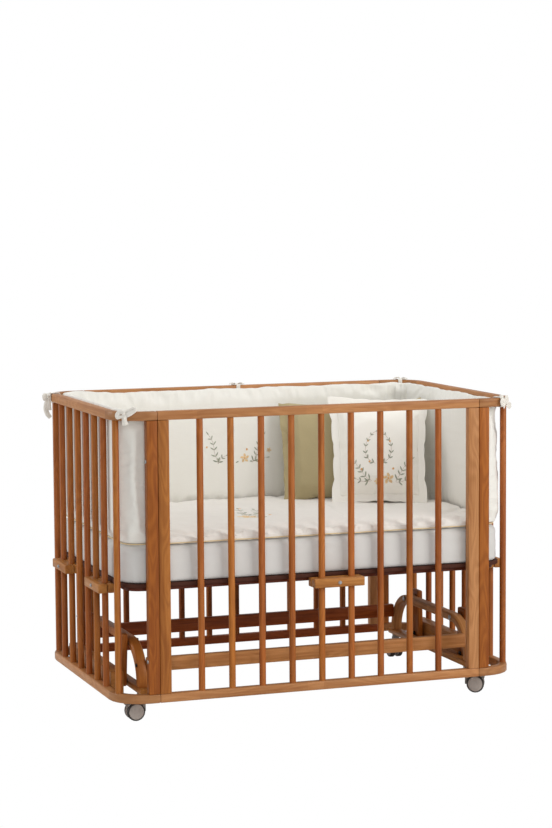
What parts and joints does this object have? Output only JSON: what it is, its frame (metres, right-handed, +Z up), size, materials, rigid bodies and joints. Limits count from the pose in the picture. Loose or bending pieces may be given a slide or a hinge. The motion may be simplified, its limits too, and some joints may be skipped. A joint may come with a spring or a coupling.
{
  "type": "baby crib",
  "caption": "Slatted beech glider crib that swings on a wheeled stand, with a clamp-held mattress base, mattress, quilt, padded bumper and cushions.",
  "frame": {"origin": "on the floor, under the middle of the crib", "axes": "+X along the length to the right end, +Y from the front panel to the back panel, +Z up"},
  "size_m": [1.197, 0.782, 0.847],
  "materials": {
    "beech": "satin lacquer",
    "base_board": "matt",
    "steel": "zinc plated",
    "black_steel": "black oxide",
    "caster_plastic": "matt",
    "wheel_plastic": "satin",
    "ivory_cloth": "woven cotton",
    "sage_cloth": "woven cotton"
  },
  "bodies": {
    "stand": {"arch_left": "beech", "arch_right": "beech", "foot_bar_left": "beech", "foot_bar_right": "beech", "stand_rail_front": "beech", "stand_rail_rear": "beech", "upper_pivot_bolt_front_left": "steel", "upper_pivot_bolt_front_right": "steel", "upper_pivot_bolt_rear_left": "steel", "upper_pivot_bolt_rear_right": "steel"},
    "caster_front_left": {"caster_housing_front_left": "caster_plastic"},
    "wheels_front_left": {"caster_wheels_front_left": "wheel_plastic"},
    "caster_front_right": {"caster_housing_front_right": "caster_plastic"},
    "wheels_front_right": {"caster_wheels_front_right": "wheel_plastic"},
    "caster_rear_left": {"caster_housing_rear_left": "caster_plastic"},
    "wheels_rear_left": {"caster_wheels_rear_left": "wheel_plastic"},
    "caster_rear_right": {"caster_housing_rear_right": "caster_plastic"},
    "wheels_rear_right": {"caster_wheels_rear_right": "wheel_plastic"},
    "arm_front_left": {"swing_arm_front_left": "beech"},
    "arm_front_right": {"swing_arm_front_right": "beech"},
    "arm_rear_left": {"swing_arm_rear_left": "beech"},
    "arm_rear_right": {"swing_arm_rear_right": "beech"},
    "cage": {"front_top_rail": "beech", "back_top_rail": "beech", "front_bottom_rail_and_spindles": "beech", "back_bottom_rail_and_spindles": "beech", "left_top_rail": "beech", "right_top_rail": "beech", "left_bottom_rail_and_spindles": "beech", "right_bottom_rail_and_spindles": "beech", "front_post_left": "beech", "front_post_right": "beech", "back_post_left": "beech", "back_post_right": "beech", "left_end_post_front": "beech", "left_end_post_back": "beech", "right_end_post_front": "beech", "right_end_post_back": "beech", "cross_board_left": "beech", "cross_board_right": "beech", "lower_pivot_bolt_front_left": "black_steel", "lower_pivot_bolt_front_right": "black_steel", "lower_pivot_bolt_rear_left": "black_steel", "lower_pivot_bolt_rear_right": "black_steel", "bumper": "ivory_cloth"},
    "bed": {"base_board": "base_board", "base_frame": "beech", "mattress": "ivory_cloth", "quilt": "ivory_cloth", "sage_pillow": "sage_cloth", "ivory_cushion": "ivory_cloth", "clamp_front": "beech", "clamp_back": "beech", "clamp_left_front": "beech", "clamp_left_back": "beech", "clamp_right_front": "beech", "clamp_right_back": "beech"}
  },
  "joints": [
    {"name": "caster_swivel_front_left", "type": "hinge", "parent": "stand", "child": "caster_front_left", "pos_m": [-0.484, -0.262, 0.07], "axis": [0, 0, 1], "continuous": true},
    {"name": "caster_roll_front_left", "type": "hinge", "parent": "caster_front_left", "child": "wheels_front_left", "pos_m": [-0.505, -0.262, 0.025], "axis": [0, -1, 0], "continuous": true},
    {"name": "caster_swivel_front_right", "type": "hinge", "parent": "stand", "child": "caster_front_right", "pos_m": [0.484, -0.262, 0.07], "axis": [0, 0, 1], "continuous": true},
    {"name": "caster_roll_front_right", "type": "hinge", "parent": "caster_front_right", "child": "wheels_front_right", "pos_m": [0.50254, -0.27186, 0.025], "axis": [0.4695, 0.8829, 0], "continuous": true},
    {"name": "caster_swivel_rear_left", "type": "hinge", "parent": "stand", "child": "caster_rear_left", "pos_m": [-0.484, 0.262, 0.07], "axis": [0, 0, 1], "continuous": true},
    {"name": "caster_roll_rear_left", "type": "hinge", "parent": "caster_rear_left", "child": "wheels_rear_left", "pos_m": [-0.484, 0.283, 0.025], "axis": [-1, 0, 0], "continuous": true},
    {"name": "caster_swivel_rear_right", "type": "hinge", "parent": "stand", "child": "caster_rear_right", "pos_m": [0.484, 0.262, 0.07], "axis": [0, 0, 1], "continuous": true},
    {"name": "caster_roll_rear_right", "type": "hinge", "parent": "caster_rear_right", "child": "wheels_rear_right", "pos_m": [0.484, 0.283, 0.025], "axis": [-1, 0, 0], "continuous": true},
    {"name": "swing", "type": "hinge", "parent": "stand", "child": "arm_front_left", "pos_m": [-0.511, -0.168, 0.199], "axis": [1, 0, 0], "range_deg": [-12, 12]},
    {"name": "swing_front_right", "type": "hinge", "parent": "stand", "child": "arm_front_right", "pos_m": [0.511, -0.168, 0.199], "axis": [1, 0, 0], "range_deg": [-12, 12]},
    {"name": "swing_rear_left", "type": "hinge", "parent": "stand", "child": "arm_rear_left", "pos_m": [-0.511, 0.168, 0.199], "axis": [1, 0, 0], "range_deg": [-12, 12]},
    {"name": "swing_rear_right", "type": "hinge", "parent": "stand", "child": "arm_rear_right", "pos_m": [0.511, 0.168, 0.199], "axis": [1, 0, 0], "range_deg": [-12, 12]},
    {"name": "cage_hang", "type": "hinge", "parent": "arm_front_left", "child": "cage", "pos_m": [-0.511, -0.168, 0.091], "axis": [1, 0, 0], "range_deg": [-12, 12]},
    {"name": "mattress_height", "type": "slide", "parent": "cage", "child": "bed", "axis": [0, 0, 1], "range_m": [-0.11, 0]}
  ],
  "couplings": [
    {"joint": "swing_front_right", "follows": "swing", "ratio": 1},
    {"joint": "swing_rear_left", "follows": "swing", "ratio": 1},
    {"joint": "swing_rear_right", "follows": "swing", "ratio": 1},
    {"joint": "cage_hang", "follows": "swing", "ratio": -1}
  ]
}
